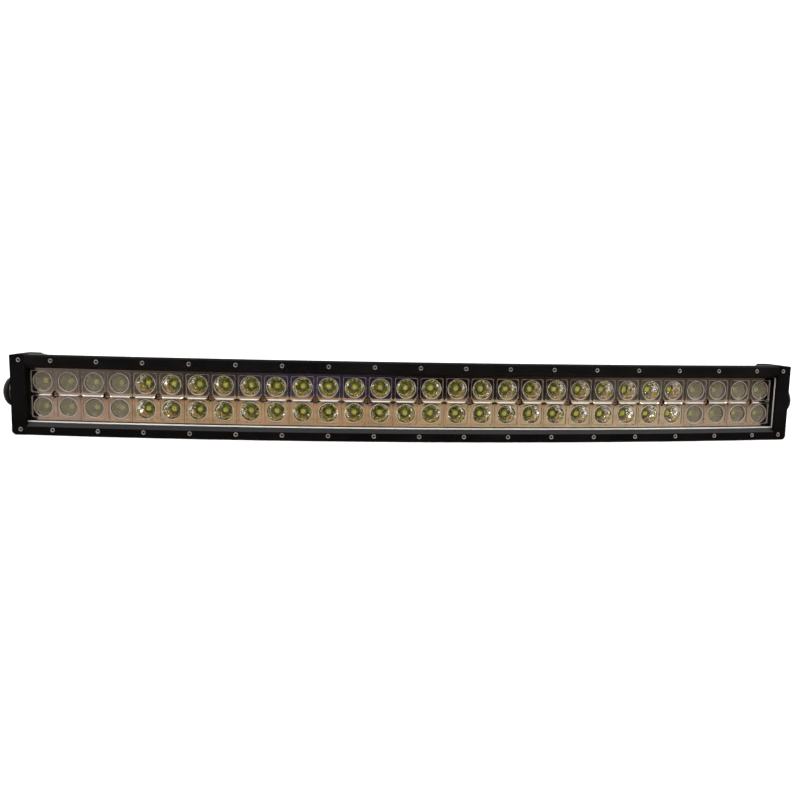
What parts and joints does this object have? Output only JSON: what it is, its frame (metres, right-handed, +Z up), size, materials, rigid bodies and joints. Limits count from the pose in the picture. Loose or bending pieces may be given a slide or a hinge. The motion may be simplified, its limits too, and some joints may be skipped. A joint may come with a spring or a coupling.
{
  "type": "led light bar",
  "caption": "Curved two-row LED light bar with flood modules at the ends, spot modules between, finned housing and tilting end brackets.",
  "frame": {"origin": "middle of the brackets' tilt axis, which is also the middle of the whole object's box with the brackets at rest", "axes": "+X along the bar and the tilt axis, -Y the way the light shines, +Z up"},
  "size_m": [0.8282, 0.1112, 0.076],
  "materials": {
    "housing_black": "satin black powder coat on extruded aluminium",
    "cap_casting": "satin black powder coat on cast aluminium",
    "bezel_black": "satin black powder coat",
    "end_seal_rubber": "matt",
    "screw_steel": "bright stainless",
    "lens_clear": "clear polycarbonate",
    "seal_silicone": "pale silicone, slight gloss",
    "flood_chrome": "metallised plastic",
    "spot_chrome": "metallised plastic",
    "diffuser_plastic": "ribbed clear plastic",
    "reflector_screw": "bronze-toned zinc",
    "led_board": "white solder mask",
    "led_phosphor": "yellow phosphor under clear silicone",
    "wire_red": "PVC",
    "driver_green": "green solder mask",
    "coil_copper": "enamelled copper",
    "capacitor_sleeve": "shrink sleeve",
    "chip_black": "moulded epoxy",
    "gland_nylon": "black nylon",
    "gland_rubber": "matt",
    "cable_sheath": "PVC sheath, slight gloss",
    "connector_black": "moulded nylon",
    "connector_lock": "orange nylon",
    "contact_gold": "gold-flashed brass",
    "bracket_black": "satin black powder coat on steel",
    "bolt_zinc": "zinc plated",
    "bolt_cap_plastic": "semi-gloss black plastic",
    "washer_rubber": "matt"
  },
  "bodies": {
    "light_bar": {"housing": "housing_black", "left_end_cap": "cap_casting", "right_end_cap": "cap_casting", "left_end_gasket": "end_seal_rubber", "right_end_gasket": "end_seal_rubber", "end_cap_screws": "bolt_zinc", "top_bezel_rail": "bezel_black", "bottom_bezel_rail": "bezel_black", "left_bezel_end": "bezel_black", "right_bezel_end": "bezel_black", "bezel_screws": "screw_steel", "lens": "lens_clear", "lens_gasket": "seal_silicone", "left_flood_reflectors": "flood_chrome", "spot_reflectors": "spot_chrome", "right_flood_reflectors": "flood_chrome", "flood_diffusers": "diffuser_plastic", "reflector_screws": "reflector_screw", "left_led_board": "led_board", "centre_led_board": "led_board", "right_led_board": "led_board", "led_emitters": "led_phosphor", "board_wires": "wire_red", "driver_board": "driver_green", "driver_coils": "coil_copper", "driver_capacitors": "capacitor_sleeve", "driver_chips": "chip_black", "cable_gland": "gland_nylon", "gland_seal": "gland_rubber", "gland_nut": "gland_nylon", "power_cable": "cable_sheath", "connector_shell": "connector_black", "connector_lock": "connector_lock", "connector_pins": "contact_gold", "breather_vent": "gland_nylon", "breather_ring": "gland_rubber", "left_pivot_bolt": "bolt_zinc", "right_pivot_bolt": "bolt_zinc", "left_bolt_cap": "bolt_cap_plastic", "right_bolt_cap": "bolt_cap_plastic", "left_rubber_washer": "washer_rubber", "right_rubber_washer": "washer_rubber", "left_steel_washer": "bolt_zinc", "right_steel_washer": "bolt_zinc"},
    "left_bracket": {"left_bracket": "bracket_black"},
    "right_bracket": {"right_bracket": "bracket_black"}
  },
  "joints": [
    {"name": "left_bracket_tilt", "type": "hinge", "parent": "light_bar", "child": "left_bracket", "pos_m": [-0.39015, 0, 0], "axis": [1, 0, 0], "range_deg": [-90, 90]},
    {"name": "right_bracket_tilt", "type": "hinge", "parent": "light_bar", "child": "right_bracket", "pos_m": [0.39015, 0, 0], "axis": [1, 0, 0], "range_deg": [-90, 90]}
  ],
  "couplings": [
    {"joint": "left_bracket_tilt", "follows": "right_bracket_tilt", "ratio": 1}
  ]
}
